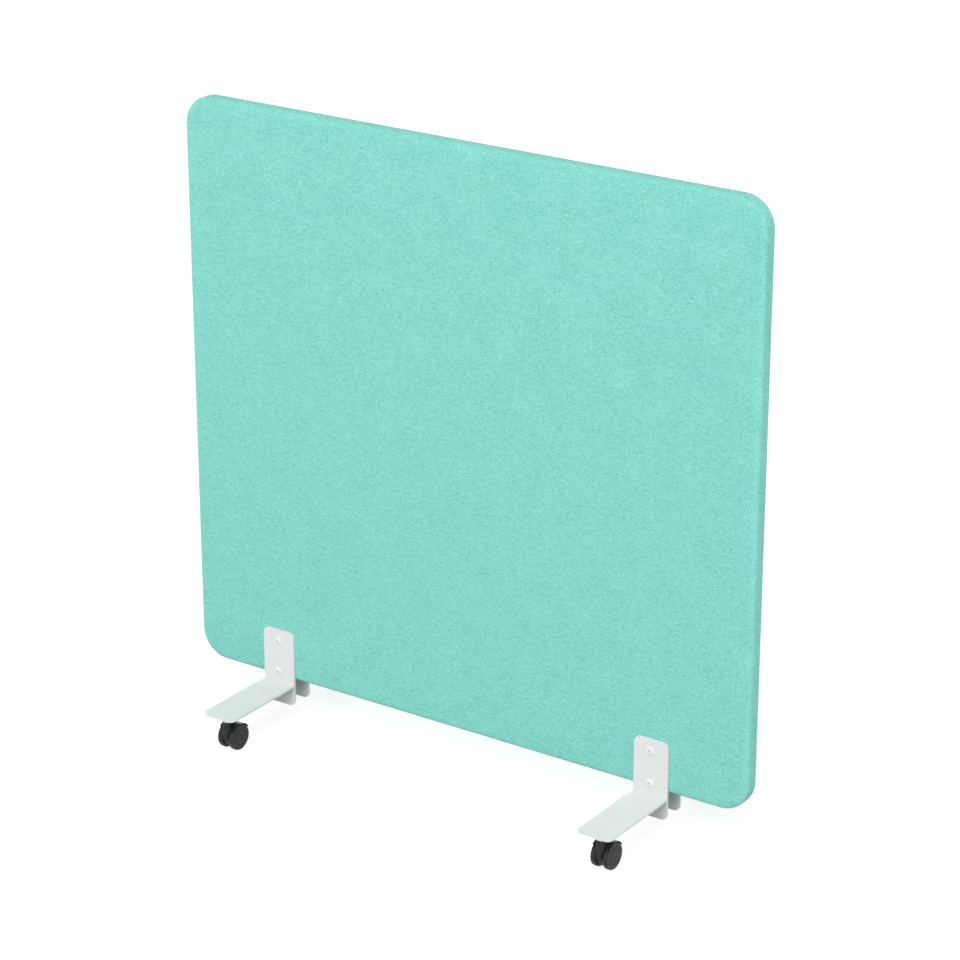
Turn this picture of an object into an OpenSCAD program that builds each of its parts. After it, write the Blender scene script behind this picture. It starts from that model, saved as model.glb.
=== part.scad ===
// Acoustic divider screen: an upholstered, rounded panel clamped between the upright plates of two
// steel feet, each foot standing on two twin-wheel swivel casters. The origin is on the floor, below
// the panel's centre. X runs along the panel, the front of the screen faces -Y, and Z is up.

/* [Panel] */
// Width of the upholstered panel
panel_w = 1200; // [800:10:1800]
// Height of the upholstered panel
panel_h = 1100; // [700:5:1600]
// Radius of the panel's four corners, seen from the front
corner_r = 55; // [30:1:100]
// Thickness of the wooden frame and of the infill inside it
board_t = 16; // [14:1:25]
// Thickness of each foam face, which also sets the roll of the panel's edge
foam_t = 9.8; // [6.8:0.2:14]
// Thickness of the fabric cover
fabric_t = 1.2; // [0.8:0.1:2]

/* [Wooden frame] */
// Width of the two stiles
stile_w = 60; // [40:1:100]
// Height of the top rail
top_rail_h = 60; // [40:1:100]
// Height of the bottom rail, which the clamp sleeves run through
bottom_rail_h = 100; // [90:1:160]
// Diameter of the dowels in the frame's corner joints
dowel_d = 8; // [6:1:10]
// Length of the dowels
dowel_l = 50; // [30:1:70]
// Gap round the infill inside the frame
infill_gap = 0.5; // [0.2:0.1:0.9]

/* [Feet] */
// Distance from the panel's end to the middle of a foot
foot_inset = 190; // [100:5:300]
// Width of the uprights and foot plates
foot_w = 70; // [50:1:100]
// Thickness of the uprights and foot plates
plate_t = 5; // [4:0.5:8]
// Corner radius of the uprights and foot plates
plate_corner_r = 12; // [6:1:20]
// Softened edge of the steel plates
plate_edge_r = 0.8; // [0.4:0.1:1.5]
// Length of a foot plate from its upright to its tip
foot_reach = 187; // [140:1:260]
// Height of an upright above the top of its foot plate
upright_up = 106; // [100:1:150]
// Length of an upright below the top of its foot plate
upright_down = 43; // [15:1:60]
// Height of the panel's lower edge above the top of the foot plates
panel_lift = 8; // [2:1:12]
// Leg of the weld bead under each foot plate
weld_leg = 4; // [2:0.5:6]

/* [Fasteners] */
// Thread diameter of the clamp screws
screw_d = 8; // [6:1:8]
// Length of a clamp screw under its head
screw_l = 20; // [12:1:22]
// Diameter of the flange round the screw's head
flange_d = 18.5; // [17:0.5:20]
// Thickness of the flange
flange_t = 1.2; // [0.9:0.1:1.5]
// Diameter of the button head, above its flange
head_d = 14; // [12:0.5:16]
// Height of the button head, with its flange
head_h = 4.4; // [3:0.1:5]
// Width of the hexagon socket across its flats
socket_af = 5; // [3:0.5:6]
// Depth of the hexagon socket
socket_depth = 2.6; // [1.5:0.1:2.8]
// Distance from the upright's top to its upper screw
screw_drop = 21; // [12:1:24]
// Distance between the two screws of an upright
screw_pitch = 63; // [30:1:66]
// Outer diameter of the clamp sleeves
sleeve_d = 12; // [11:0.5:14]

/* [Casters] */
// Wheel diameter
wheel_d = 50; // [44:1:56]
// Width of one wheel
wheel_w = 11; // [9:0.5:14]
// Thickness of the housing's web between the wheels
web_t = 11.6; // [11:0.2:16]
// Gap between a wheel and the web
wheel_gap = 1.2; // [0.6:0.1:2]
// Distance from the swivel axis to the axle
trail = 18; // [16:0.5:19]
// Height of the caster, from the floor to the boss that it is screwed into
caster_h = 63; // [61:0.5:70]
// Distance from the foot's tip to the swivel axis
caster_inset = 28; // [20:1:40]
// Diameter of the axle
axle_d = 6; // [5:0.5:7]
// Diameter of the caster stem
stem_d = 8; // [7:0.5:8]
// Diameter of the boss under the foot plate
boss_d = 20; // [16:1:26]
// Height of the boss under the foot plate
boss_h = 12; // [8:0.5:16]

/* [Clearances] */
// Radial gap between a screw or sleeve and the hole that it passes through
pass_gap = 0.3; // [0.1:0.05:0.6]
// Radial gap of the running fits at axle and stem
run_gap = 0.05; // [0.02:0.01:0.1]
// Gap between faces that turn past each other
turn_gap = 0.3; // [0.2:0.05:0.6]

/* [Hidden] */
$fn = 64;
over = 1; // how far a cutting shape runs past what it cuts

panel_t = board_t + 2 * (foam_t + fabric_t);
edge_r = foam_t + fabric_t; // the panel's edge rolls over the foam
foot_x = panel_w / 2 - foot_inset;
foot_top_z = caster_h + boss_h + plate_t;
foot_under_z = foot_top_z - plate_t;
panel_z = foot_top_z + panel_lift;
upright_top_z = foot_top_z + upright_up;
upright_low_z = foot_top_z - upright_down;
upright_face_y = panel_t / 2 + plate_t; // outer face of an upright
tip_y = upright_face_y + foot_reach;
screw_zs = [upright_top_z - screw_drop - screw_pitch, upright_top_z - screw_drop];

infill_top_z = panel_z + panel_h - fabric_t - top_rail_h;
infill_low_z = panel_z + fabric_t + bottom_rail_h;
stile_x = panel_w / 2 - fabric_t - stile_w; // inner edge of a stile
weld_hollow_share = 0.8; // radius of a weld bead's hollow face, as a share of its leg
dowel_edge_share = 0.25; // a dowel's distance from the rail's edge, as a share of the rail's height

// button head: a dome that rises from the flange, flattened on top
flange_edge_r = 0.4;
head_flat = 0.7; // how far the full dome would stand above the flat
head_dome_top = head_h + head_flat;
head_dome_z = (pow(head_dome_top, 2) - pow(head_d / 2, 2) - pow(flange_t, 2))
    / (2 * (head_dome_top - flange_t));
head_dome_r = head_dome_top - head_dome_z;

// wheel: a rim and a hub behind a domed outer face, with ribs between them; the face has a recess in
// its middle and a groove round it, both measured down from the dome's crown
wheel_r = wheel_d / 2;
rim_t = 3.6;
shoulder_r = 2.8;
face_t = 2.6;
dome_h = 0.9;
face_recess_r = 5.5;
face_recess_drop = 0.6;
face_groove_r = 15;
face_groove_w = 1.2;
face_groove_drop = 0.9;
hub_wall = 3.4;
hub_r = axle_d / 2 + hub_wall;
rib_t = 1.6;
rib_count = 6;
rib_setback = 1.2;
lip_h = 0.3; // snap lip inside the hub, which holds the wheel in the axle's groove
lip_w = 0.8;
lip_u = 4.6;
lip_side_gap = 0.15;
bore_depth = wheel_w - face_t;
axle_end_gap = 0.4;
wheel_u = web_t / 2 + wheel_gap; // inner face of a wheel, from the caster's middle plane
caster_half_w = wheel_u + wheel_w;

// housing: a web between the wheels, a hood over them and a tower for the stem
web_setback = 4; // from the wheels' tread to the web's edge
web_r = wheel_r - web_setback;
hood_gap = 0.6; // between tread and hood
hood_t = 1.6;
hood_r = wheel_r + hood_gap + hood_t;
hood_start = 32; // angles from the level line behind the axle, over the top
hood_end = 130;
hood_edge_r = 1;
tower_wall = 4.2;
tower_r = stem_d / 2 + tower_wall;
tower_foot_z = wheel_r;
collar_h = 3; // hexagon collar of the stem, above the tower
tower_top_z = caster_h - collar_h - turn_gap;

// stem: a thread, a hexagon collar and a smooth journal with a groove for the retaining ring
collar_af = 14;
stem_rise = 3; // from the axle's height to the stem's lower end
stem_low_z = wheel_r + stem_rise;
stem_point = 0.8;
stem_floor_gap = 0.5;
thread_end_gap = 0.2;
boss_roof_t = 0.8; // steel left above the thread's hole
thread_l = boss_h - boss_roof_t - thread_end_gap;
ring_drop = 6; // from the tower's top to the retaining ring
ring_z = tower_top_z - ring_drop;
ring_t = 1.2;
ring_w = 1.6;
ring_bite = 0.8; // how deep the ring sits in the stem
ring_gap_angle = 40;

MINT = [0.545, 0.863, 0.808];
WHITE = [0.93, 0.935, 0.94];
BLACK = [0.17, 0.18, 0.18];
STEEL = [0.72, 0.73, 0.74];
WOOD = [0.80, 0.66, 0.47];
FOAM = [0.93, 0.91, 0.84];
FELT = [0.55, 0.56, 0.57];

corners = ["front_left", "front_right", "rear_left", "rear_right"];
wheel_sides = ["left", "right"];

// Places

function corner_side(i) = i % 2 == 0 ? -1 : 1;

// moves a front foot's piece to corner i, and turns it over to the back for the rear ones
module at_corner(i) {
    translate([corner_side(i) * foot_x, 0, 0])
        mirror([0, i < 2 ? 0 : 1, 0])
            children();
}

// the caster's own place: swivel axis upright through the origin, axle behind it
module at_caster(i) {
    at_corner(i)
        translate([0, caster_inset - tip_y, 0])
            children();
}

// lays a turned piece along the axle, inner end at distance u from the caster's middle plane
module on_axle(u = 0) {
    translate([u, trail, wheel_r])
        rotate([0, 90, 0])
            children();
}

module at_screws() {
    for (side = [-1, 1], z = screw_zs)
        translate([side * foot_x, 0, z])
            rotate([90, 0, 0])
                children();
}

// Shapes that repeat

// half section of a plate from its middle to its rolled edge
module edge_section(reach, t, e) {
    square([reach - e, t]);
    translate([0, e])
        square([reach, t - 2 * e]);
    for (y = [e, t - e])
        translate([reach - e, y])
            circle(r = e);
}

// a plate with rounded corners and rolled edges, lying on the XY plane and centred on Z
module rolled_plate(w, h, t, r, e) {
    for (turn = [0, 180])
        rotate([0, 0, turn])
            translate([-(w / 2 - r), 0, 0])
                rotate([90, 0, 90])
                    linear_extrude(w - 2 * r)
                        edge_section(h / 2, t, e);
    for (turn = [0, 180])
        rotate([0, 0, turn])
            translate([w / 2 - r, h / 2 - r, 0])
                rotate([90, 0, 0])
                    linear_extrude(h - 2 * r)
                        edge_section(r, t, e);
    for (sx = [0, 1], sy = [0, 1])
        mirror([sx, 0, 0])
            mirror([0, sy, 0])
                translate([w / 2 - r, h / 2 - r, 0])
                    rotate_extrude(angle = 90)
                        edge_section(r, t, e);
}

module rounded_outline(w, h, r) {
    square([w - 2 * r, h], center = true);
    square([w, h - 2 * r], center = true);
    for (x = [-1, 1], y = [-1, 1])
        translate([x * (w / 2 - r), y * (h / 2 - r)])
            circle(r = r);
}

// the whole panel, smaller by the inset on every side
module panel_body(inset) {
    translate([0, panel_t / 2 - inset, panel_z + panel_h / 2])
        rotate([90, 0, 0])
            rolled_plate(panel_w - 2 * inset, panel_h - 2 * inset, panel_t - 2 * inset,
                corner_r - inset, edge_r - inset);
}

// one member of the wooden frame: the frame's outline cut to a rectangle
module frame_member(x0, x1, z0, z1) {
    translate([0, board_t / 2, 0])
        rotate([90, 0, 0])
            linear_extrude(board_t)
                intersection() {
                    translate([0, panel_z + panel_h / 2])
                        rounded_outline(panel_w - 2 * fabric_t, panel_h - 2 * fabric_t, corner_r - fabric_t);
                    translate([x0, z0])
                        square([x1 - x0, z1 - z0]);
                }
}

module dowel_set() {
    for (side = [-1, 1])
        for (rail = [[infill_top_z, top_rail_h], [panel_z + fabric_t, bottom_rail_h]])
            for (share = [dowel_edge_share, 1 - dowel_edge_share])
                translate([side * stile_x - dowel_l / 2, 0, rail[0] + share * rail[1]])
                    rotate([0, 90, 0])
                        cylinder(d = dowel_d, h = dowel_l);
}

// holes through the panel for the clamp sleeves
module sleeve_holes() {
    at_screws()
        translate([0, 0, -panel_t / 2 - over])
            cylinder(r = sleeve_d / 2 + pass_gap, h = panel_t + 2 * over);
}

// Panel

module fabric_cover() {
    color(MINT)
        difference() {
            panel_body(0);
            panel_body(fabric_t);
            sleeve_holes();
        }
}

module foam_face(side) {
    color(FOAM)
        difference() {
            intersection() {
                panel_body(fabric_t);
                translate([-panel_w / 2, side > 0 ? board_t / 2 : -board_t / 2 - foam_t, panel_z])
                    cube([panel_w, foam_t, panel_h]);
            }
            sleeve_holes();
        }
}

module infill_board() {
    color(FELT)
        translate([infill_gap - stile_x, -board_t / 2, infill_low_z])
            cube([2 * (stile_x - infill_gap), board_t, infill_top_z - infill_low_z - infill_gap]);
}

module stile(side) {
    outer = panel_w / 2 - fabric_t;
    color(WOOD)
        difference() {
            frame_member(side > 0 ? stile_x : -outer, side > 0 ? outer : -stile_x,
                panel_z, panel_z + panel_h);
            dowel_set();
        }
}

module top_rail() {
    color(WOOD)
        difference() {
            frame_member(-stile_x, stile_x, infill_top_z, infill_top_z + top_rail_h);
            dowel_set();
        }
}

module bottom_rail() {
    color(WOOD)
        difference() {
            frame_member(-stile_x, stile_x, panel_z + fabric_t, infill_low_z);
            dowel_set();
            sleeve_holes();
        }
}

module frame_dowels() {
    color(WOOD)
        dowel_set();
}

// Feet

module upright(i) {
    color(WHITE)
        at_corner(i)
            difference() {
                translate([0, -panel_t / 2, (upright_top_z + upright_low_z) / 2])
                    rotate([90, 0, 0])
                        rolled_plate(foot_w, upright_up + upright_down, plate_t, plate_corner_r,
                            plate_edge_r);
                for (z = screw_zs)
                    translate([0, -panel_t / 2 + over, z])
                        rotate([90, 0, 0])
                            cylinder(r = screw_d / 2 + pass_gap, h = plate_t + 2 * over);
            }
}

module foot_plate(i) {
    // the plate is made longer by its corner radius, and squared off where it meets the upright
    full = foot_reach + plate_corner_r;
    color(WHITE)
        at_corner(i)
            difference() {
                translate([0, full / 2 - tip_y, foot_under_z])
                    rolled_plate(foot_w, full, plate_t, plate_corner_r, plate_edge_r);
                translate([-foot_w / 2 - over, -upright_face_y, foot_under_z - over])
                    cube([foot_w + 2 * over, plate_corner_r + over, plate_t + 2 * over]);
            }
}

module weld_beads() {
    bead_l = foot_w - 2 * plate_corner_r;
    color(WHITE)
        for (i = [0:3])
            at_corner(i)
                translate([-bead_l / 2, -upright_face_y, foot_under_z])
                    rotate([90, 0, 90])
                        linear_extrude(bead_l)
                            difference() {
                                translate([-weld_leg, -weld_leg])
                                    square(weld_leg);
                                translate([-weld_leg, -weld_leg])
                                    circle(r = weld_leg * weld_hollow_share);
                            }
}

module caster_bosses() {
    color(WHITE)
        for (i = [0:3])
            at_caster(i)
                translate([0, 0, foot_under_z - boss_h])
                    difference() {
                        cylinder(d = boss_d, h = boss_h);
                        translate([0, 0, -over])
                            cylinder(d = stem_d, h = thread_l + thread_end_gap + over);
                    }
}

// Fasteners

module clamp_sleeves() {
    color(STEEL)
        at_screws()
            translate([0, 0, -panel_t / 2])
                difference() {
                    cylinder(d = sleeve_d, h = panel_t);
                    translate([0, 0, -over])
                        cylinder(d = screw_d, h = panel_t + 2 * over);
                }
}

module clamp_screw() {
    translate([0, 0, -screw_l])
        cylinder(d = screw_d, h = screw_l);
    difference() {
        rotate_extrude() {
            edge_section(flange_d / 2, flange_t, flange_edge_r);
            intersection() {
                translate([0, head_dome_z])
                    circle(r = head_dome_r);
                square([head_d / 2, head_h]);
            }
        }
        translate([0, 0, head_h - socket_depth])
            cylinder(r = socket_af / 2 / cos(30), h = socket_depth + over, $fn = 6);
    }
}

module clamp_screws() {
    color(WHITE)
        for (i = [0:3])
            at_corner(i)
                for (z = screw_zs)
                    translate([0, -upright_face_y, z])
                        rotate([90, 0, 0])
                            clamp_screw();
}

// Casters

module caster_stem(i) {
    color(STEEL)
        at_caster(i)
            difference() {
                union() {
                    translate([0, 0, caster_h])
                        cylinder(d = stem_d, h = thread_l - stem_point);
                    translate([0, 0, caster_h + thread_l - stem_point])
                        cylinder(r1 = stem_d / 2, r2 = stem_d / 2 - stem_point, h = stem_point);
                    translate([0, 0, caster_h - collar_h])
                        cylinder(r = collar_af / 2 / cos(30), h = collar_h, $fn = 6);
                    translate([0, 0, stem_low_z + stem_point])
                        cylinder(d = stem_d, h = caster_h - collar_h - stem_low_z - stem_point);
                    translate([0, 0, stem_low_z])
                        cylinder(r1 = stem_d / 2 - stem_point, r2 = stem_d / 2, h = stem_point);
                }
                translate([0, 0, ring_z - turn_gap / 2])
                    difference() {
                        cylinder(r = stem_d, h = ring_t + turn_gap);
                        translate([0, 0, -over])
                            cylinder(r = stem_d / 2 - ring_bite, h = ring_t + turn_gap + 2 * over);
                    }
            }
}

module stem_ring(i) {
    color(STEEL)
        at_caster(i)
            translate([0, 0, ring_z])
                rotate([0, 0, ring_gap_angle / 2])
                    rotate_extrude(angle = 360 - ring_gap_angle)
                        translate([stem_d / 2 - ring_bite + run_gap, 0])
                            square([ring_w, ring_t]);
}

// pie-shaped block of the hood over both wheels, with softened side edges
module hood_block() {
    on_axle(-caster_half_w)
        rotate([0, 0, 90])
            rotate([0, 0, hood_start])
                rotate_extrude(angle = hood_end - hood_start)
                    edge_section(hood_r, 2 * caster_half_w, hood_edge_r);
}

module caster_housing(i) {
    ring_room_r = stem_d / 2 - ring_bite + run_gap + ring_w + turn_gap;
    color(BLACK)
        at_caster(i)
            difference() {
                union() {
                    on_axle(-web_t / 2)
                        cylinder(r = web_r, h = web_t);
                    hood_block();
                    translate([0, 0, tower_foot_z])
                        cylinder(r = tower_r, h = tower_top_z - tower_foot_z);
                }
                // room for the wheels
                for (u = [-caster_half_w - over, web_t / 2])
                    on_axle(u)
                        cylinder(r = wheel_r + hood_gap, h = caster_half_w - web_t / 2 + over);
                on_axle(-web_t / 2 - over)
                    cylinder(d = axle_d, h = web_t + 2 * over);
                translate([0, 0, stem_low_z - stem_floor_gap])
                    cylinder(r = stem_d / 2 + run_gap, h = tower_top_z);
                translate([0, 0, ring_z - turn_gap / 2])
                    cylinder(r = ring_room_r, h = ring_t + turn_gap);
            }
}

module wheel_axle(i) {
    half_l = wheel_u + bore_depth - axle_end_gap;
    groove_w = lip_w + 2 * lip_side_gap;
    color(STEEL)
        at_caster(i)
            on_axle(-half_l)
                difference() {
                    cylinder(d = axle_d, h = 2 * half_l);
                    for (u = [lip_u + wheel_u - lip_side_gap, -lip_u - wheel_u - lip_w - lip_side_gap])
                        translate([0, 0, half_l + u])
                            difference() {
                                cylinder(r = axle_d, h = groove_w);
                                translate([0, 0, -over])
                                    cylinder(r = axle_d / 2 - lip_h, h = groove_w + 2 * over);
                            }
                }
}

// wheel section: x is the distance from the axle, y runs from the inner face to the outer one
module wheel_section() {
    dome_r = (pow(wheel_r, 2) + pow(dome_h, 2)) / (2 * dome_h);
    difference() {
        intersection() {
            edge_section(wheel_r, wheel_w, shoulder_r);
            translate([0, wheel_w - dome_r])
                circle(r = dome_r, $fn = 512);
            square([wheel_r, wheel_w]);
        }
        translate([0, wheel_w - face_recess_drop])
            square([face_recess_r, face_recess_drop + over]);
        translate([face_groove_r, wheel_w - face_groove_drop])
            square([face_groove_w, face_groove_drop + over]);
        translate([hub_r, -over])
            square([wheel_r - rim_t - hub_r, bore_depth + over]);
        translate([0, -over])
            square([axle_d / 2 + run_gap - lip_h, bore_depth + over]);
        for (span = [[-over, lip_u + over], [lip_u + lip_w, bore_depth - lip_u - lip_w]])
            translate([0, span[0]])
                square([axle_d / 2 + run_gap, span[1]]);
    }
}

module wheel(i, side) {
    rib_l = wheel_r - rim_t - hub_r + rib_t; // from inside the hub's wall to inside the rim
    rib_h = bore_depth - rib_setback + rib_t / 2;
    color(BLACK)
        at_caster(i)
            mirror([side > 0 ? 0 : 1, 0, 0])
                on_axle(wheel_u) {
                    rotate_extrude()
                        wheel_section();
                    for (k = [0:rib_count - 1])
                        rotate([0, 0, k * 360 / rib_count])
                            translate([hub_r - rib_t / 2, -rib_t / 2, rib_setback])
                                cube([rib_l, rib_t, rib_h]);
                }
}

fabric_cover();
foam_face(-1);  // front_foam
foam_face(1);  // rear_foam
infill_board();
stile(-1);  // left_stile
stile(1);  // right_stile
top_rail();
bottom_rail();
frame_dowels();
clamp_sleeves();
clamp_screws();
weld_beads();
caster_bosses();
for (i = [0:3]) {
    upright(i);
    foot_plate(i);
    caster_stem(i);
    stem_ring(i);
    caster_housing(i);
    wheel_axle(i);
    for (s = [0, 1])
        wheel(i, s * 2 - 1);
}
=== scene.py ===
import math

import bpy
import numpy as np
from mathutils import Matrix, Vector


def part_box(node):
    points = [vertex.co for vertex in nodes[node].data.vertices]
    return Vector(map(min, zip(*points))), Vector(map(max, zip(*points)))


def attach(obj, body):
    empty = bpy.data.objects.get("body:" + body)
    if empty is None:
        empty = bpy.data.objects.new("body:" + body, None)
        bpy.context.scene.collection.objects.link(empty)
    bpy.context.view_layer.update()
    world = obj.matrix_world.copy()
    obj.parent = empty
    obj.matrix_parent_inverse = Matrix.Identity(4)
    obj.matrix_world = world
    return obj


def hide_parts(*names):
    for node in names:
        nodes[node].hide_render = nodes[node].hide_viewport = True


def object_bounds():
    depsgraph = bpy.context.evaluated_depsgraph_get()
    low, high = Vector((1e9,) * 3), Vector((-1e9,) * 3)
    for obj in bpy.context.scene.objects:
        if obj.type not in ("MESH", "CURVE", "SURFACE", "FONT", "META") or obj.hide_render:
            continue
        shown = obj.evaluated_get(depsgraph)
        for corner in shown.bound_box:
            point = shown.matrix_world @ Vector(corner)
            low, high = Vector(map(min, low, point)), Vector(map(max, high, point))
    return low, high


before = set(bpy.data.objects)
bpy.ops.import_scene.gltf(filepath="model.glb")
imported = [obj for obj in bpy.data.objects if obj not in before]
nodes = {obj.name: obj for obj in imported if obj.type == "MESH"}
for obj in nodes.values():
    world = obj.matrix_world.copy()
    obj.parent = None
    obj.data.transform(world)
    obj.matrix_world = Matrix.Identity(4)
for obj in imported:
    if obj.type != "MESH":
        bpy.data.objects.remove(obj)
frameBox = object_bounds()
corners = ["front_left", "front_right", "rear_left", "rear_right"]
mm = 0.001
print("frame loaded with", len(nodes), "pieces")


def linear(colour):
    # an sRGB hex colour as linear values with full alpha
    shares = [int(colour[i:i + 2], 16) / 255 for i in (1, 3, 5)]
    return tuple(c / 12.92 if c <= 0.04045 else ((c + 0.055) / 1.055) ** 2.4 for c in shares) + (1.0,)


def addNode(tree, kind, settings=None, links=None):
    # settings go to sockets where the name or number is one, and to the node itself otherwise
    node = tree.nodes.new(kind)
    for key, value in (settings or {}).items():
        if isinstance(key, int) or key in node.inputs:
            node.inputs[key].default_value = value
        else:
            setattr(node, key, value)
    for key, source in (links or {}).items():
        if isinstance(source, bpy.types.Node):
            source = source.outputs[0]
        tree.links.new(source, node.inputs[key])
    return node


def newMaterial(name):
    material = bpy.data.materials.new(name)
    material.use_nodes = True
    material.node_tree.nodes.clear()
    return material, material.node_tree


def closeMaterial(material, settings, links):
    # the shader, fed by the pattern's nodes, and the output
    tree = material.node_tree
    shader = addNode(tree, "ShaderNodeBsdfPrincipled", settings, links)
    addNode(tree, "ShaderNodeOutputMaterial", links={"Surface": shader})
    return material


def placeInMm(tree):
    # a piece's own coordinates, in millimetres
    place = addNode(tree, "ShaderNodeTexCoord")
    return addNode(tree, "ShaderNodeVectorMath", {"operation": "SCALE", "Scale": 1 / mm},
                   {0: place.outputs["Object"]})


def dress(material, *names):
    for name in names:
        nodes[name].data.materials.clear()
        nodes[name].data.materials.append(material)


# Panel cover: melange cloth pulled over the foam, rolled round the panel's edge

cover = {
    "cell": 6.2 * mm,  # mesh size on the faces
    "rollSteps": 7,  # rings round the rolled edge
    "sideSteps": 4,  # rings over the flat middle of the edge
    "corner": 55 * mm,  # radius, as on the CAD panel
    "cornerSteps": 16,
    "band": 12 * mm,  # from the corner's arc to the straight grid inside it
    "bandSteps": 10,
    "crown": 1.1 * mm,  # how far the foam swells in the middle of a face
    "crownPower": 6,  # a higher one keeps the swelling flat for longer and drops it nearer the edge
    "press": 16 * mm,  # how far round a plate the cloth is drawn in
    "sink": 0.05 * mm,  # the cloth lies this far below a plate's inner face
    "wander": 0.3 * mm,  # slow unevenness of the foam
    "waves": 10,
    "waveMm": (140, 420),  # shortest and longest wave of that unevenness
    "seed": 7,
}
# the padded edge rolls over the foam
cover["roll"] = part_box("front_foam")[1].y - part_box("fabric_cover")[0].y


def turned(x, z, angle):
    return (x * math.cos(angle) - z * math.sin(angle), x * math.sin(angle) + z * math.cos(angle))


def roundedLoop(halfW, halfH, radius, countX, countZ, steps):
    # points round the outline, starting after the lower left corner, each side and arc in even steps
    points = []
    for side in range(4):
        turn = side * math.pi / 2
        along = (halfW, halfH)[side % 2] - radius
        out = (halfH, halfW)[side % 2]
        count = (countX, countZ)[side % 2]
        for i in range(count):
            points.append(turned(-along + 2 * along * i / count, -out, turn))
        for i in range(steps):
            angle = -math.pi / 2 + math.pi / 2 * i / steps
            x = along + radius * math.cos(angle)
            z = radius - out + radius * math.sin(angle)
            points.append(turned(x, z, turn))
    return np.array(points)


def borderPlaces(columns, rows, steps):
    # places on the straight grid's border, as many and in the same order as the outline's points, with half
    # an arc's points on each side of a corner
    places = [(a, 0) for a in range(columns)] + [(columns, b) for b in range(rows)]
    places += [(a, rows) for a in range(columns, 0, -1)] + [(0, b) for b in range(rows, 0, -1)]
    return places[steps // 2:] + places[:steps // 2]


def foamWaves():
    # slow waves in all directions, each with a third of the height, since they seldom meet at their peaks
    draw = np.random.default_rng(cover["seed"])
    waves = []
    for i in range(cover["waves"]):
        angle = draw.uniform(0, math.pi)
        k = 2 * math.pi / (draw.uniform(*cover["waveMm"]) * mm)
        phase = draw.uniform(0, 6.3)  # about a full turn
        waves.append((k * math.cos(angle), k * math.sin(angle), phase, cover["wander"] / 3))
    return waves


def clampedPlates(facing, middle):
    # where the uprights press on one side of the panel, from the panel's middle
    plates = []
    for hand in ("left", "right"):
        low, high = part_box(f"upright_{facing}_{hand}")
        plates.append(((low.x - middle.x, low.z - middle.z), (high.x - middle.x, high.z - middle.z)))
    return plates


def faceHeight(x, z, side, half, plates, waves):
    # how far the cloth stands out of the flat face, at points given from the panel's middle
    power = cover["crownPower"]
    fallX = np.clip(1 - (np.abs(x) / half[0]) ** power, 0, 1)
    fallZ = np.clip(1 - (np.abs(z) / half[1]) ** power, 0, 1)
    swell = np.sqrt(fallX * fallZ)
    height = cover["crown"] * swell
    for kx, kz, phase, size in waves:
        height = height + size * np.sin(kx * x + kz * z + phase + side) * swell
    for low, high in plates:
        besideX = np.maximum(np.maximum(low[0] - x, x - high[0]), 0)
        besideZ = np.maximum(np.maximum(low[1] - z, z - high[1]), 0)
        share = np.clip(np.hypot(besideX, besideZ) / cover["press"], 0, 1)
        share = share * share * (3 - 2 * share)  # eased at both ends
        height = height * share - cover["sink"] * (1 - share)
    return height


def coverRings(square, rolled, outward, outline, halfT):
    # rings from the front's grid over the edge to the rear's, and how many of them belong to the front;
    # each has its points, its place from front to rear, and the cloth's length from where its own side's
    # roll begins
    roll = cover["roll"]
    rings = []
    for i in range(cover["bandSteps"]):
        rings.append((square + (rolled - square) * (i / cover["bandSteps"]), -halfT, 0))
    for i in range(cover["rollSteps"] + 1):
        angle = math.pi / 2 * i / cover["rollSteps"]
        points = rolled + outward * roll * math.sin(angle)
        rings.append((points, -halfT + roll * (1 - math.cos(angle)), roll * angle))
    mirrored = list(reversed(rings))
    flat = halfT - roll
    for i in range(1, cover["sideSteps"]):
        along = 2 * flat * i / cover["sideSteps"]
        rings.append((outline, along - flat, mirrored[0][2] + along))
    front = len(rings)
    rings += [(points, -depth, arc) for points, depth, arc in mirrored]
    return rings, front


def ringFaces(rings, front, rolled, outward):
    # quads between the rings, with the cloth's own flat coordinates at their corners
    total = len(rolled)
    here = np.arange(total)
    after = np.roll(here, -1)
    sideStep = rings[front - 1][2] - rings[front - 2][2]
    faces, cloth = [], []
    for ring in range(len(rings) - 1):
        spread = []
        for points, depth, arc in rings[ring:ring + 2]:
            spread.append(rolled + outward * arc if arc else points)
        if ring == front - 1:
            # the front's cloth runs on over the flat side as far as the rear's roll
            spread[1] = rolled + outward * (rings[ring][2] + sideStep)
        elif ring >= front:
            spread = [s * (-1, 1) for s in spread]  # laid out as seen from behind
        near, far = ring * total, (ring + 1) * total
        faces += np.column_stack([near + here, far + here, far + after, near + after]).tolist()
        cloth.append(np.stack([spread[0], spread[1], spread[1][after], spread[0][after]], axis=1))
    return faces, cloth


def gridFaces(xs, zs, border, side, firstOnRing, firstInside):
    # quads of the straight grid inside a face's first ring: those on its border share that ring's points
    columns, rows = len(xs) - 1, len(zs) - 1
    number = {place: firstOnRing + i for i, place in enumerate(border)}
    inside = []
    for a in range(1, columns):
        for b in range(1, rows):
            number[(a, b)] = firstInside + len(inside)
            inside.append((xs[a], zs[b]))
    faces, cloth = [], []
    for a in range(columns):
        for b in range(rows):
            quad = [(a, b), (a + 1, b), (a + 1, b + 1), (a, b + 1)]
            if side > 0:  # the rear looks the other way
                quad.reverse()
            faces.append([number[key] for key in quad])
            cloth.append([(-side * xs[p], zs[q]) for p, q in quad])
    return np.array(inside), faces, np.array(cloth)


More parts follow.
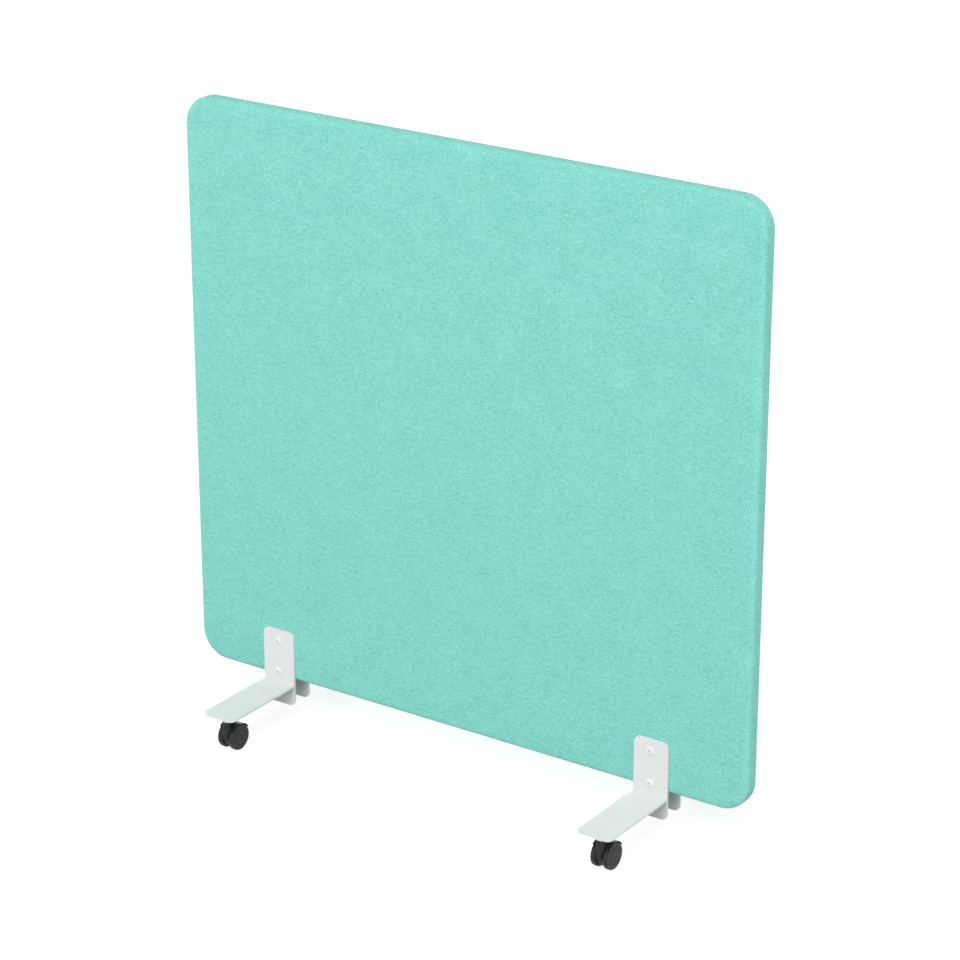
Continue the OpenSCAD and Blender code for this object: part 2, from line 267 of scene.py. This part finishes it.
def buildCover():
    low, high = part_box("fabric_cover")
    middle = (low + high) / 2
    halfW, halfT, halfH = (high - low) / 2
    half = (halfW, halfH)
    corner, roll, steps = cover["corner"], cover["roll"], cover["cornerSteps"]
    countX = round((halfW - corner) * 2 / cover["cell"])
    countZ = round((halfH - corner) * 2 / cover["cell"])
    counts = (countX, countZ, steps)
    waves = foamWaves()
    # side -1 is the front and 1 the rear
    plates = {-1: clampedPlates("front", middle), 1: clampedPlates("rear", middle)}

    inset = corner + cover["band"]
    xs = np.linspace(-(halfW - inset), halfW - inset, countX + steps + 1)
    zs = np.linspace(-(halfH - inset), halfH - inset, countZ + steps + 1)
    border = borderPlaces(countX + steps, countZ + steps, steps)
    square = np.array([(xs[a], zs[b]) for a, b in border])
    rolled = roundedLoop(halfW - roll, halfH - roll, corner - roll, *counts)
    outline = roundedLoop(halfW, halfH, corner, *counts)
    outward = (outline - rolled) / roll

    rings, front = coverRings(square, rolled, outward, outline, halfT)
    points = []
    for ring, (loop, depth, arc) in enumerate(rings):
        side = -1 if ring < front else 1
        y = np.full(len(loop), depth)
        if arc == 0:  # still on the flat face
            y = y + side * faceHeight(loop[:, 0], loop[:, 1], side, half, plates[side], waves)
        points.append(np.column_stack([loop[:, 0] + middle.x, y + middle.y, loop[:, 1] + middle.z]))
    faces, cloth = ringFaces(rings, front, rolled, outward)

    count = len(rings) * len(outline)
    for side, ring in ((-1, 0), (1, len(rings) - 1)):
        inside, gridQuads, gridCloth = gridFaces(xs, zs, border, side, ring * len(outline), count)
        y = side * halfT + side * faceHeight(inside[:, 0], inside[:, 1], side, half, plates[side], waves)
        points.append(np.column_stack([inside[:, 0] + middle.x, y + middle.y, inside[:, 1] + middle.z]))
        faces += gridQuads
        cloth.append(gridCloth)
        count += len(inside)

    mesh = bpy.data.meshes.new("panel_cover")
    mesh.from_pydata(np.concatenate(points).tolist(), [], faces)
    layer = mesh.uv_layers.new(name="cloth")
    layer.data.foreach_set("uv", np.concatenate(cloth).astype(np.float32).ravel())
    mesh.polygons.foreach_set("use_smooth", [True] * len(mesh.polygons))
    piece = bpy.data.objects.new("panel_cover", mesh)
    bpy.context.scene.collection.objects.link(piece)
    return piece


panelCover = buildCover()
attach(panelCover, "screen")
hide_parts("fabric_cover", "front_foam", "rear_foam")
print("panel cover built with", len(panelCover.data.polygons), "faces")

# Polyester melange: a plain weave of yarns spun from pale and deeper mint fibres. To the eye it is a soft
# mint with a fine grain of short dashes, a few of them pale or deep, and hardly any shine.
melange = {
    "tones": ("#69BEB0", "#89DACE", "#95E0D6", "#B3F3EC"),
    "toneShares": (0.1, 0.35, 0.65, 0.9),  # most runs lie between the middle two
    "yarnMm": 1.5,  # real yarns lie 0.7 mm apart, drawn coarser so that they show
    "weftRunMm": 5.0,  # usual length of one tone along a yarn
    "warpRunMm": 4.5,
    "streak": 0.3,  # share of longer runs, laid over the weave's own
    "streakRunMm": 14.0,
    "cloudMm": 70.0,
    "cloudRange": 0.2,  # how far the slow clouds move the tone
    "yarnPaintedShade": (0.9, 1.05),  # painted shade at a yarn's edge and painted light on its back
    "slub": 0.3,  # how much a run of the weft also stands up
    "weaveDepth": 0.2 * mm,
    "weaveStrength": 0.5,
    "roughness": 0.92,
    "fuzz": 0.7,  # loose fibre ends light up evenly, also where the cloth turns away
    "gloss": 0.0,  # the fibres are matt
    "sheen": 0.12,
    "sheenRoughness": 0.5,
}


def yarnTones(tree, along, across, run, shift):
    # one random tone for each run of a yarn, the runs of uneven length and faded into each other
    row = addNode(tree, "ShaderNodeMath", {"operation": "DIVIDE", 1: melange["yarnMm"]}, {0: across})
    row = addNode(tree, "ShaderNodeMath", {"operation": "FLOOR"}, {0: row})
    # rows lie far enough apart in the noise to have nothing in common
    own = addNode(tree, "ShaderNodeMath", {"operation": "MULTIPLY_ADD", 1: 5.3, 2: shift}, {0: row})
    far = addNode(tree, "ShaderNodeMath", {"operation": "DIVIDE", 1: run}, {0: along})
    place = addNode(tree, "ShaderNodeCombineXYZ", links={"X": far, "Y": own})
    tone = addNode(tree, "ShaderNodeTexNoise", {"noise_dimensions": "2D", "Scale": 1.0, "Detail": 1.0},
                   {"Vector": place})
    # the noise seldom leaves this range
    return addNode(tree, "ShaderNodeMapRange", {"From Min": 0.2, "From Max": 0.8}, {"Value": tone})


def wovenMelange():
    material, tree = newMaterial("wovenPolyesterMelange")
    cloth = addNode(tree, "ShaderNodeUVMap", {"uv_map": "cloth"})
    inMm = addNode(tree, "ShaderNodeVectorMath", {"operation": "SCALE", "Scale": 1 / mm}, {0: cloth})
    yarns = addNode(tree, "ShaderNodeVectorMath", {"operation": "SCALE", "Scale": 1 / melange["yarnMm"]},
                    {0: inMm})
    inside = addNode(tree, "ShaderNodeVectorMath", {"operation": "FRACTION"}, {0: yarns})
    insideParts = addNode(tree, "ShaderNodeSeparateXYZ", links={0: inside})
    cell = addNode(tree, "ShaderNodeVectorMath", {"operation": "FLOOR"}, {0: yarns})
    cellParts = addNode(tree, "ShaderNodeSeparateXYZ", links={0: cell})
    parts = addNode(tree, "ShaderNodeSeparateXYZ", links={0: inMm})
    x, y = parts.outputs["X"], parts.outputs["Y"]

    # plain weave: weft over warp in every other cell, each yarn with its own runs of tones
    order = addNode(tree, "ShaderNodeMath", {"operation": "ADD"},
                    {0: cellParts.outputs["X"], 1: cellParts.outputs["Y"]})
    warpOnTop = addNode(tree, "ShaderNodeMath", {"operation": "PINGPONG", 1: 1.0}, {0: order})
    # the last number moves each set to its own part of the noise
    weft = yarnTones(tree, x, y, melange["weftRunMm"], 0.0)
    warp = yarnTones(tree, y, x, melange["warpRunMm"], 400.0)
    tone = addNode(tree, "ShaderNodeMix", {"data_type": "FLOAT"}, {0: warpOnTop, 2: weft, 3: warp})
    streaks = yarnTones(tree, x, y, melange["streakRunMm"], 900.0)
    tone = addNode(tree, "ShaderNodeMix", {"data_type": "FLOAT", 0: melange["streak"]},
                   {2: tone, 3: streaks})
    clouds = addNode(tree, "ShaderNodeTexNoise", {"Scale": 1 / melange["cloudMm"], "Detail": 3.0},
                     {"Vector": inMm})
    drift = addNode(tree, "ShaderNodeMath", {"operation": "MULTIPLY_ADD", 1: melange["cloudRange"],
                                             2: -melange["cloudRange"] / 2}, {0: clouds})
    tone = addNode(tree, "ShaderNodeMath", {"operation": "ADD"}, {0: tone, 1: drift})
    colour = addNode(tree, "ShaderNodeValToRGB", links={"Fac": tone})
    stops = colour.color_ramp.elements
    for share, dye in zip(melange["toneShares"], melange["tones"]):
        stops.new(share).color = linear(dye)
    stops.remove(stops[-1])  # the ramp's own black and white ends
    stops.remove(stops[0])

    # rounded yarns, lowest where each dips under the next; this height gives the bump and also the painted
    # shade
    waves = []
    for part in ("X", "Y"):
        angle = addNode(tree, "ShaderNodeMath", {"operation": "MULTIPLY", 1: math.pi},
                        {0: insideParts.outputs[part]})
        waves.append(addNode(tree, "ShaderNodeMath", {"operation": "SINE"}, {0: angle}))
    pillow = addNode(tree, "ShaderNodeMath", {"operation": "MULTIPLY"}, {0: waves[0], 1: waves[1]})
    # painted shade and light: the colour is darkened at the yarns' edges, where they dip, and lightened on
    # their backs
    shade = addNode(tree, "ShaderNodeMapRange", {"To Min": melange["yarnPaintedShade"][0],
                                                 "To Max": melange["yarnPaintedShade"][1]}, {"Value": pillow})
    paintedShadeColour = addNode(tree, "ShaderNodeVectorMath", {"operation": "SCALE"}, {0: colour, "Scale": shade})
    height = addNode(tree, "ShaderNodeMath", {"operation": "MULTIPLY_ADD", 1: melange["slub"]},
                     {0: weft, 2: pillow})
    bump = addNode(tree, "ShaderNodeBump", {"Strength": melange["weaveStrength"],
                                            "Distance": melange["weaveDepth"]}, {"Height": height})
    surface = {
        "Roughness": melange["roughness"],
        "Diffuse Roughness": melange["fuzz"],
        "Specular IOR Level": melange["gloss"],
        "Sheen Weight": melange["sheen"],
        "Sheen Roughness": melange["sheenRoughness"],
    }
    return closeMaterial(material, surface, {"Base Color": paintedShadeColour, "Normal": bump})


panelCover.data.materials.append(wovenMelange())
print("melange cloth made")


# Steel feet

# Powder coat on sheet steel: baked polyester powder, which levels to a faint orange peel.
# To the eye it is a soft white satin with no brush marks.
powderCoat = {
    "colour": "#E7E9E8",
    "shade": "#E0E2E1",
    "shadeMm": 45.0,
    "roughness": 0.45,
    "uneven": 0.06,  # how far the roughness wanders from that
    "dull": 1.0,  # a matt coat scatters evenly
    "peelMm": 1.4,
    "peelDepth": 0.03 * mm,
    "peelStrength": 0.4,
}
# Enamel on the screws: a thinner coat, a little whiter and smoother, with a finer peel.
screwEnamel = dict(powderCoat, colour="#EDEFEE", shade="#E7E9E8", roughness=0.4, peelMm=0.8)


def bakedCoat(name, settings):
    material, tree = newMaterial(name)
    inMm = placeInMm(tree)
    peel = addNode(tree, "ShaderNodeTexNoise", {"Scale": 1 / settings["peelMm"], "Detail": 2.0},
                   {"Vector": inMm})
    drift = addNode(tree, "ShaderNodeTexNoise", {"Scale": 1 / settings["shadeMm"], "Detail": 3.0},
                    {"Vector": inMm})
    colour = addNode(tree, "ShaderNodeMix", {"data_type": "RGBA", 6: linear(settings["shade"]),
                                             7: linear(settings["colour"])}, {0: drift})
    rough = addNode(tree, "ShaderNodeMapRange", {"To Min": settings["roughness"] - settings["uneven"],
                                                 "To Max": settings["roughness"] + settings["uneven"]},
                    {"Value": drift})
    bump = addNode(tree, "ShaderNodeBump", {"Strength": settings["peelStrength"],
                                            "Distance": settings["peelDepth"]}, {"Height": peel})
    return closeMaterial(material, {"Diffuse Roughness": settings["dull"]},
                         {"Base Color": colour.outputs[2], "Roughness": rough, "Normal": bump})


coat = bakedCoat("powderCoatedSteel", powderCoat)
dress(coat, "weld_beads", "caster_bosses")
for corner in corners:
    dress(coat, f"upright_{corner}", f"foot_plate_{corner}")
dress(bakedCoat("enamelledScrewSteel", screwEnamel), "clamp_screws")
print("feet coated")


# Casters

# Nylon with glass fibre, injection moulded in a spark-eroded mould: near black, and a fine grain keeps
# it matt.
nylon = {
    "colour": "#202221",
    "worn": "#2E302F",
    "wornMm": 9.0,
    "roughness": 0.55,
    "wornRougher": 0.15,
    "shine": 0.28,
    "grainMm": 0.5,  # nearer 0.2 in reality, drawn coarser so that it shows
    "grainDepth": 0.03 * mm,
    "grainStrength": 0.4,
}
# The wheels come from another mould, smoother and with a coarser grain.
wheelNylon = dict(nylon, roughness=0.5, grainMm=0.8)


def mouldedNylon(name, settings):
    material, tree = newMaterial(name)
    inMm = placeInMm(tree)
    grain = addNode(tree, "ShaderNodeTexNoise", {"Scale": 1 / settings["grainMm"], "Detail": 2.0},
                    {"Vector": inMm})
    scuffs = addNode(tree, "ShaderNodeTexNoise", {"Scale": 1 / settings["wornMm"], "Detail": 6.0,
                                                  "Roughness": 0.7}, {"Vector": inMm})
    # only the noise's peaks are worn
    worn = addNode(tree, "ShaderNodeMapRange", {"From Min": 0.5, "From Max": 0.8}, {"Value": scuffs})
    colour = addNode(tree, "ShaderNodeMix", {"data_type": "RGBA", 6: linear(settings["colour"]),
                                             7: linear(settings["worn"])}, {0: worn})
    rough = addNode(tree, "ShaderNodeMapRange", {"To Min": settings["roughness"],
                                                 "To Max": settings["roughness"] + settings["wornRougher"]},
                    {"Value": worn})
    bump = addNode(tree, "ShaderNodeBump", {"Strength": settings["grainStrength"],
                                            "Distance": settings["grainDepth"]}, {"Height": grain})
    return closeMaterial(material, {"Specular IOR Level": settings["shine"]},
                         {"Base Color": colour.outputs[2], "Roughness": rough, "Normal": bump})


# Bright zinc on turned steel: a thin electroplated coat with a cool, slightly cloudy shine.
zinc = {
    "colour": "#C6C9CC",
    "cloud": "#B2B6BA",
    "cloudMm": 4.0,
    "roughness": 0.3,
    "uneven": 0.08,
}


def zincPlatedSteel():
    material, tree = newMaterial("zincPlatedSteel")
    cloud = addNode(tree, "ShaderNodeTexNoise", {"Scale": 1 / zinc["cloudMm"], "Detail": 4.0},
                    {"Vector": placeInMm(tree)})
    colour = addNode(tree, "ShaderNodeMix", {"data_type": "RGBA", 6: linear(zinc["cloud"]),
                                             7: linear(zinc["colour"])}, {0: cloud})
    rough = addNode(tree, "ShaderNodeMapRange", {"To Min": zinc["roughness"] - zinc["uneven"],
                                                 "To Max": zinc["roughness"] + zinc["uneven"]},
                    {"Value": cloud})
    return closeMaterial(material, {"Metallic": 1.0}, {"Base Color": colour.outputs[2], "Roughness": rough})


housing = mouldedNylon("mouldedNylonHousing", nylon)
wheel = mouldedNylon("mouldedNylonWheel", wheelNylon)
zincSteel = zincPlatedSteel()
dress(zincSteel, "clamp_sleeves")
for corner in corners:
    dress(housing, f"caster_housing_{corner}")
    dress(wheel, f"wheel_{corner}_left", f"wheel_{corner}_right")
    dress(zincSteel, f"caster_stem_{corner}", f"stem_ring_{corner}", f"wheel_axle_{corner}")
print("casters dressed")


# Inside the cover

# Pine, planed: pale, with darker late wood in lines along each length.
pine = {
    "early": "#DDBF92",
    "late": "#B98F5C",
    "ringMm": 4.0,
    "lengthwise": 0.06,  # how fast the pattern changes along the grain, against across it
    "ringDepth": 0.1 * mm,
    "ringStrength": 0.3,
    "roughness": 0.6,
}
# Polyester felt, needled and pressed into board: a grey fleck with no direction.
felt = {
    "pale": "#A2A5A7",
    "dark": "#74777A",
    "fibreMm": 1.5,  # tufts, since single fibres are too fine to show
    "fibreDepth": 0.3 * mm,
    "fibreStrength": 0.6,
    "roughness": 0.95,
}


def planedPine(name, across):
    # across is the way that the growth rings are stacked
    material, tree = newMaterial(name)
    place = addNode(tree, "ShaderNodeTexCoord")
    stretch = [1.0 if axis == across else pine["lengthwise"] for axis in "XYZ"]
    grain = addNode(tree, "ShaderNodeVectorMath",
                    {"operation": "MULTIPLY", 1: [s / pine["ringMm"] / mm for s in stretch]},
                    {0: place.outputs["Object"]})
    rings = addNode(tree, "ShaderNodeTexNoise", {"Scale": 1.0, "Detail": 4.0, "Distortion": 0.3},
                    {"Vector": grain})
    colour = addNode(tree, "ShaderNodeMix", {"data_type": "RGBA", 6: linear(pine["early"]),
                                             7: linear(pine["late"])}, {0: rings})
    bump = addNode(tree, "ShaderNodeBump", {"Strength": pine["ringStrength"],
                                            "Distance": pine["ringDepth"]}, {"Height": rings})
    return closeMaterial(material, {"Roughness": pine["roughness"]},
                         {"Base Color": colour.outputs[2], "Normal": bump})


def pressedFelt():
    material, tree = newMaterial("pressedPolyesterFelt")
    fibres = addNode(tree, "ShaderNodeTexNoise", {"Scale": 1 / felt["fibreMm"], "Detail": 5.0,
                                                  "Distortion": 1.5}, {"Vector": placeInMm(tree)})
    colour = addNode(tree, "ShaderNodeMix", {"data_type": "RGBA", 6: linear(felt["dark"]),
                                             7: linear(felt["pale"])}, {0: fibres})
    bump = addNode(tree, "ShaderNodeBump", {"Strength": felt["fibreStrength"],
                                            "Distance": felt["fibreDepth"]}, {"Height": fibres})
    return closeMaterial(material, {"Roughness": felt["roughness"]},
                         {"Base Color": colour.outputs[2], "Normal": bump})


dress(planedPine("planedPineUpright", "X"), "left_stile", "right_stile")
dress(planedPine("planedPineLevel", "Z"), "top_rail", "bottom_rail", "frame_dowels")
dress(pressedFelt(), "infill_board")
print("inner frame dressed")


# Studio

studio = {
    "floor": "#C0C0C0",
    "floorSize": 10.0,
    # light that only the camera, reflections and glass see: the bare floor is white, a shadow still shows
    "floorLift": 0.75,
    "skyStrength": 0.25,
    "lampDistance": 10.0,
}
lamps = {
    "frontSoftbox": {"towards": (0.0, -1.0, 0.1), "size": 6.0, "power": 420.0},
    "topSoftbox": {"towards": (0.2, -0.62, 0.76), "size": 6.0, "power": 540.0},
    "sideSoftbox": {"towards": (1.0, 0.05, 0.15), "size": 6.0, "power": 380.0},
    "rearSoftbox": {"towards": (-0.55, 0.83, 0.02), "size": 3.0, "power": 700.0},
}
# the camera, fitted to the panel's outline in the photograph
view = {
    "place": (3.000, -4.313, 2.638),
    "yaw": 34.53,  # turned to the left of straight ahead
    "down": 21.47,
    "lens": 119.8,
}


def seenRays(tree):
    # 1 for the rays that show a surface, straight or in a reflection or through glass, and 0 for the rest
    path = addNode(tree, "ShaderNodeLightPath")
    seen = addNode(tree, "ShaderNodeMath", {"operation": "MAXIMUM"},
                   {0: path.outputs["Is Camera Ray"], 1: path.outputs["Is Glossy Ray"]})
    return addNode(tree, "ShaderNodeMath", {"operation": "MAXIMUM"},
                   {0: seen, 1: path.outputs["Is Transmission Ray"]})


def buildFloor():
    half = studio["floorSize"] / 2
    square = [(-half, -half, 0), (half, -half, 0), (half, half, 0), (-half, half, 0)]
    mesh = bpy.data.meshes.new("floor")
    mesh.from_pydata(square, [], [(0, 1, 2, 3)])
    floor = bpy.data.objects.new("floor", mesh)
    bpy.context.scene.collection.objects.link(floor)
    # background paper, uncoated: dead matt
    material, tree = newMaterial("uncoatedStudioPaper")
    paper = addNode(tree, "ShaderNodeBsdfPrincipled", {"Base Color": linear(studio["floor"]),
                                                       "Roughness": 1.0, "Specular IOR Level": 0.0})
    lift = addNode(tree, "ShaderNodeMath", {"operation": "MULTIPLY", 1: studio["floorLift"]},
                   {0: seenRays(tree)})
    glow = addNode(tree, "ShaderNodeEmission", links={"Strength": lift})
    both = addNode(tree, "ShaderNodeAddShader", links={0: paper, 1: glow})
    addNode(tree, "ShaderNodeOutputMaterial", links={"Surface": both})
    floor.data.materials.append(material)


def buildSky():
    world = bpy.data.worlds.new("studioWhite")
    bpy.context.scene.world = world
    world.use_nodes = True
    tree = world.node_tree
    tree.nodes.clear()
    strength = addNode(tree, "ShaderNodeMapRange", {"To Min": studio["skyStrength"], "To Max": 1.0},
                       {"Value": seenRays(tree)})
    sky = addNode(tree, "ShaderNodeBackground", {"Color": linear("#FFFFFF")}, {"Strength": strength})
    addNode(tree, "ShaderNodeOutputWorld", links={"Surface": sky})


def addLamps():
    middle = Vector((0, 0, (frameBox[0].z + frameBox[1].z) / 2))
    for name, settings in lamps.items():
        light = bpy.data.lights.new(name, "AREA")
        light.size = settings["size"]
        light.energy = settings["power"]
        lamp = bpy.data.objects.new(name, light)
        bpy.context.scene.collection.objects.link(lamp)
        towards = Vector(settings["towards"]).normalized()
        lamp.location = middle + towards * studio["lampDistance"]
        lamp.rotation_mode = "QUATERNION"
        lamp.rotation_quaternion = towards.to_track_quat("Z", "Y")


def addCamera():
    data = bpy.data.cameras.new("camera")
    data.lens = view["lens"]
    camera = bpy.data.objects.new("camera", data)
    bpy.context.scene.collection.objects.link(camera)
    camera.location = view["place"]
    camera.rotation_euler = (math.radians(90 - view["down"]), 0, math.radians(view["yaw"]))
    bpy.context.scene.camera = camera


buildFloor()
buildSky()
addLamps()
addCamera()
bpy.context.scene.view_settings.view_transform = "Standard"
print("studio ready")
